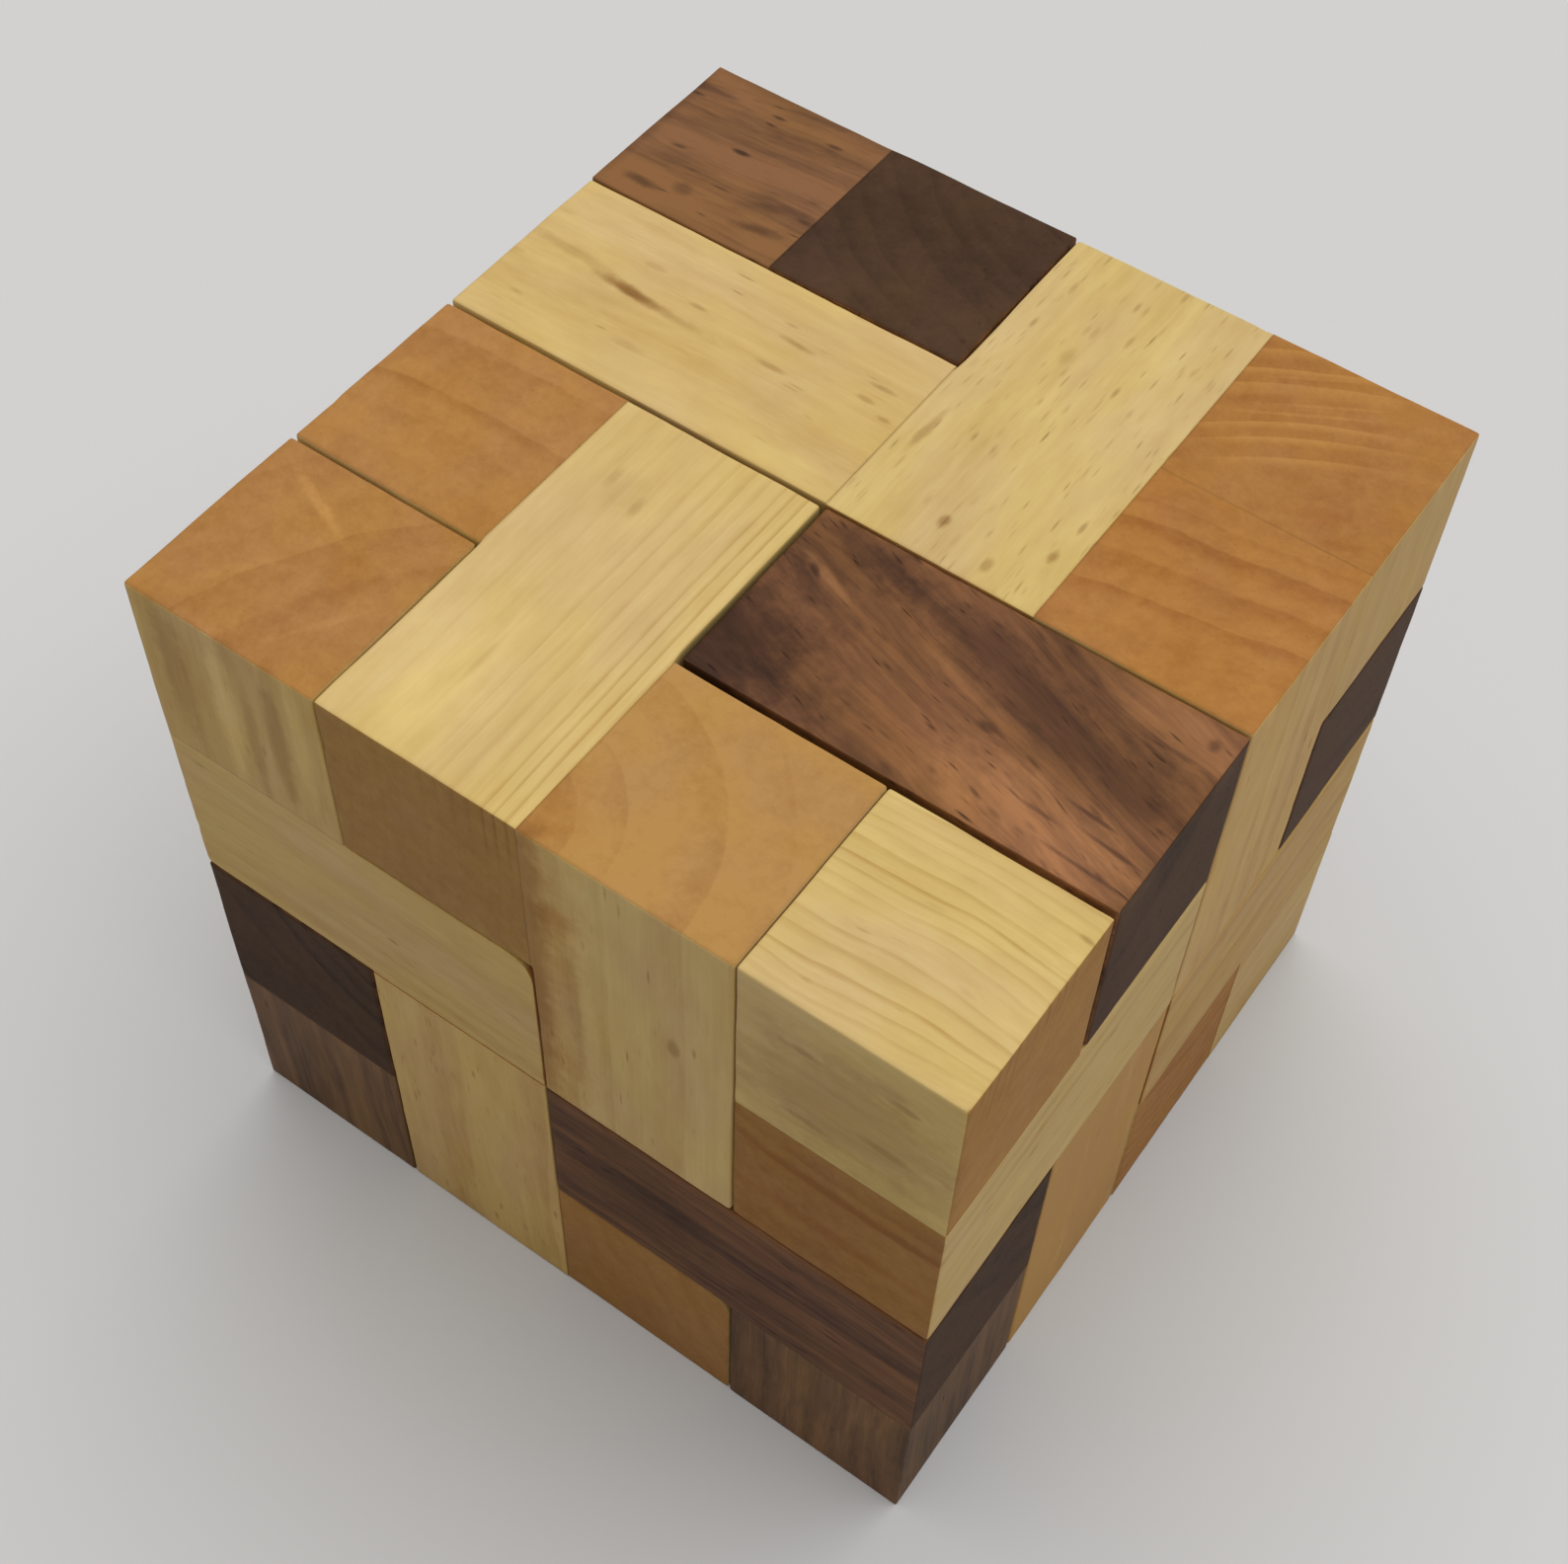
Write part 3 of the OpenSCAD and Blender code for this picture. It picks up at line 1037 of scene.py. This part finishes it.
def make_stick(name, owners, tree):
    """Builds one stick in place of its node, cut from its own log."""
    scene = bpy.context.scene
    sizes, woods = scene.puzzle_sizes, scene.puzzle_woods
    stick = STICKS[name]
    cells = sorted(cell for cell, owner in owners.items() if owner[0] == name)
    pitch = grid_pitch(sizes)
    middle = sum((cell_middle(cell, sizes) for cell in cells), Vector()) / len(cells)
    run = Vector(cells[-1]) - Vector(cells[0])
    grain = stick.grain or AXES[max(range(3), key=lambda axis: run[axis])]
    along = run if len(cells) > 1 else Vector([float(axis == grain) for axis in AXES])
    near, far = side_setbacks(name, cells, owners, sizes)
    values = {
        "Size": (run + Vector((1, 1, 1))) * pitch,
        "Middle": middle,
        "Along": along,
        "Near Low Sides": near[0],
        "Near High Sides": near[1],
        "Far Low Sides": far[0],
        "Far High Sides": far[1],
        "Cell": pitch,
        "Edge Radius": sizes.edge,
        "Edge Strip": sizes.strip,
        "Rub": sizes.rub,
        "Worn Edge": Vector(stick.worn),
        "Worn Radius": sizes.worn_edge,
        "Seed": float(stick.seed + sizes.seed),
        "Material": wood_material(name, stick, grain, middle, woods),
    }
    blank = bpy.data.objects.new(name + "_blank", bpy.data.meshes.new(name + "_blank"))
    scene.collection.objects.link(blank)
    modifier = blank.modifiers.new(TREE_NAME, "NODES")
    modifier.node_group = tree
    for socket in tree.interface.items_tree:
        if socket.in_out == "INPUT":
            modifier[socket.identifier] = values[socket.name]
    bpy.context.view_layer.update()
    depsgraph = bpy.context.evaluated_depsgraph_get()
    mesh = bpy.data.meshes.new_from_object(blank.evaluated_get(depsgraph), depsgraph=depsgraph)
    bpy.data.objects.remove(blank)
    piece = bpy.data.objects.new(name + "_wood", mesh)
    mesh.name = name + "_wood"
    scene.collection.objects.link(piece)
    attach(piece, owners[cells[0]][1])
    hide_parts(name)
    slot_of(name)


def slot_of(name):
    """The record's material slot of a node."""
    for part in frame["record"]["subparts"]:
        if part["node"] == name:
            return part["material_slot"]
    raise ValueError("no material slot for " + name)


class PieceOperator:
    """What the operators of the eight pieces share."""

    bl_options = {"REGISTER", "UNDO"}
    body = ""

    def execute(self, context):
        """Builds every stick of the piece."""
        tree = bpy.data.node_groups.get(TREE_NAME) or stick_tree()
        owners = cells_by_owner(context.scene.puzzle_sizes)
        names = sorted({name for name, body in owners.values() if body == self.body})
        for name in names:
            make_stick(name, owners, tree)
        return {"FINISHED"}


class PUZZLE_OT_key(PieceOperator, bpy.types.Operator):
    """Build the key, the pale piece on the right that slides out by itself"""

    bl_idname = "puzzle.key"
    bl_label = "Key"
    body = "key"


class PUZZLE_OT_lock(PieceOperator, bpy.types.Operator):
    """Build the lock, the dark piece that the key holds in"""

    bl_idname = "puzzle.lock"
    bl_label = "Lock"
    body = "lock"


class PUZZLE_OT_arch(PieceOperator, bpy.types.Operator):
    """Build the arch, the pale piece that lifts off the top"""

    bl_idname = "puzzle.arch"
    bl_label = "Arch"
    body = "arch"


class PUZZLE_OT_base(PieceOperator, bpy.types.Operator):
    """Build the base, the pale floor of the front half"""

    bl_idname = "puzzle.base"
    bl_label = "Base"
    body = "base"


class PUZZLE_OT_roof(PieceOperator, bpy.types.Operator):
    """Build the roof, the pale top of the back half"""

    bl_idname = "puzzle.roof"
    bl_label = "Roof"
    body = "roof"


class PUZZLE_OT_heel(PieceOperator, bpy.types.Operator):
    """Build the heel, the pale floor of the back half"""

    bl_idname = "puzzle.heel"
    bl_label = "Heel"
    body = "heel"


class PUZZLE_OT_cradle(PieceOperator, bpy.types.Operator):
    """Build the cradle, the dark piece on the left that ties the halves together"""

    bl_idname = "puzzle.cradle"
    bl_label = "Cradle"
    body = "cradle"


class PUZZLE_OT_spine(PieceOperator, bpy.types.Operator):
    """Build the spine, the dark piece at the back"""

    bl_idname = "puzzle.spine"
    bl_label = "Spine"
    body = "spine"


# ---- stage ----


def overhead_light(settings):
    """A very wide, soft light that is as bright over the whole floor."""
    lamp = bpy.data.lights.new("overhead", "SUN")
    lamp.angle = settings.light_width
    lamp.energy = settings.light_power
    lamp.color = LIGHT_COLOUR
    holder = bpy.data.objects.new("overhead", lamp)
    holder.location = LIGHT_FROM
    holder.rotation_euler = LIGHT_FROM.to_track_quat("Z", "Y").to_euler()
    bpy.context.scene.collection.objects.link(holder)


class PUZZLE_OT_stage(bpy.types.Operator):
    """Lay the floor and set up the lights and the camera"""

    bl_idname = "puzzle.stage"
    bl_label = "Stage"
    bl_options = {"REGISTER", "UNDO"}

    def execute(self, context):
        settings = context.scene.puzzle_stage
        self.lay_floor(settings)
        self.hang_lights(settings)
        self.place_camera(settings)
        return {"FINISHED"}

    def lay_floor(self, settings):
        """One large sheet, so that low views see no edge near the cube."""
        half = settings.floor_width / 2
        corners = [(-half, -half, 0), (half, -half, 0), (half, half, 0), (-half, half, 0)]
        mesh = bpy.data.meshes.new("floor")
        mesh.from_pydata(corners, [], [(0, 1, 2, 3)])
        floor = bpy.data.objects.new("floor", mesh)
        bpy.context.scene.collection.objects.link(floor)
        material = bpy.data.materials.new("floor_paint")
        material.use_nodes = True
        shader = material.node_tree.nodes["Principled BSDF"]
        shader.inputs["Base Color"].default_value = (*settings.floor_colour, 1.0)
        shader.inputs["Roughness"].default_value = FLOOR_ROUGHNESS
        shader.inputs["Specular IOR Level"].default_value = FLOOR_SHINE
        mesh.materials.append(material)

    def hang_lights(self, settings):
        """The light overhead and the light of the room, shown as the materials state them."""
        overhead_light(settings)
        bpy.context.scene.world = self.room(settings)
        bpy.context.scene.view_settings.view_transform = "Standard"

    def room(self, settings):
        """Dim warm light from all round, and a pale wall where the camera looks past the floor."""
        world = bpy.data.worlds.new("room")
        world.use_nodes = True
        tree = world.node_tree
        nodes = Nodes(tree)
        sky = tree.nodes["Background"]
        sky.inputs["Color"].default_value = ROOM_COLOUR
        sky.inputs["Strength"].default_value = settings.room_light
        wall = nodes.add("ShaderNodeBackground", {}, {"Color": WALL_COLOUR, "Strength": 1.0})
        seen = nodes.add("ShaderNodeLightPath", {}, {}, "Is Camera Ray")
        light = Wire(nodes, sky.outputs["Background"])
        both = {"Fac": seen, "Shader": light, "Shader_001": wall}
        mixed = nodes.add("ShaderNodeMixShader", {}, both)
        tree.links.new(mixed.socket, tree.nodes["World Output"].inputs["Surface"])
        return world

    def place_camera(self, settings):
        """Stands the camera above the front right edge, looking down at the cube."""
        camera = bpy.data.cameras.new("camera")
        camera.lens = settings.lens
        camera.sensor_width = SENSOR_WIDTH
        camera.clip_start = NEAREST_SEEN
        holder = bpy.data.objects.new("camera", camera)
        bpy.context.scene.collection.objects.link(holder)
        turn, rise = settings.camera_turn, settings.camera_rise
        outwards = Vector(
            (math.sin(turn) * math.cos(rise), -math.cos(turn) * math.cos(rise), math.sin(rise))
        )
        middle = (CAD_LOW + CAD_HIGH) / 2
        aim = middle + AIM * CUBE_SIDE
        upright = outwards.to_track_quat("Z", "Y").to_matrix().to_4x4()
        roll = Matrix.Rotation(settings.camera_roll, 4, "Z")
        stand = Matrix.Translation(aim + outwards * settings.camera_distance * CUBE_SIDE)
        holder.matrix_world = stand @ upright @ roll
        bpy.context.scene.camera = holder


# ---- add-on ----

PIECE_OPERATORS = (
    PUZZLE_OT_base,
    PUZZLE_OT_arch,
    PUZZLE_OT_lock,
    PUZZLE_OT_key,
    PUZZLE_OT_cradle,
    PUZZLE_OT_roof,
    PUZZLE_OT_heel,
    PUZZLE_OT_spine,
)


class PUZZLE_PT_panel(bpy.types.Panel):
    """The sidebar panel that lists the pieces and their settings"""

    bl_idname = "PUZZLE_PT_panel"
    bl_label = "Wooden Cube"
    bl_space_type = "VIEW_3D"
    bl_region_type = "UI"
    bl_category = "Wooden Cube"

    def draw(self, context):
        """Lists the operators and the settings."""
        layout = self.layout
        for operator in (*PIECE_OPERATORS, PUZZLE_OT_stage):
            layout.operator(operator.bl_idname)
        scene = context.scene
        for settings in (scene.puzzle_sizes, scene.puzzle_woods, scene.puzzle_stage):
            box = layout.box()
            for name in settings.__annotations__:
                box.prop(settings, name)


CLASSES = (
    PuzzleSizes,
    PuzzleWoods,
    PuzzleStage,
    *PIECE_OPERATORS,
    PUZZLE_OT_stage,
    PUZZLE_PT_panel,
)


def register():
    """Adds the classes and the settings to Blender."""
    for item in CLASSES:
        bpy.utils.register_class(item)
    bpy.types.Scene.puzzle_sizes = PointerProperty(type=PuzzleSizes)
    bpy.types.Scene.puzzle_woods = PointerProperty(type=PuzzleWoods)
    bpy.types.Scene.puzzle_stage = PointerProperty(type=PuzzleStage)


def unregister():
    """Takes them away again."""
    del bpy.types.Scene.puzzle_stage
    del bpy.types.Scene.puzzle_woods
    del bpy.types.Scene.puzzle_sizes
    for item in reversed(CLASSES):
        bpy.utils.unregister_class(item)


def main():
    """Builds the stage and the eight pieces."""
    register()
    bpy.ops.puzzle.stage()
    bpy.ops.puzzle.base()
    bpy.ops.puzzle.arch()
    bpy.ops.puzzle.lock()
    bpy.ops.puzzle.key()
    bpy.ops.puzzle.cradle()
    bpy.ops.puzzle.roof()
    bpy.ops.puzzle.heel()
    bpy.ops.puzzle.spine()


if __name__ == "__main__":
    main()
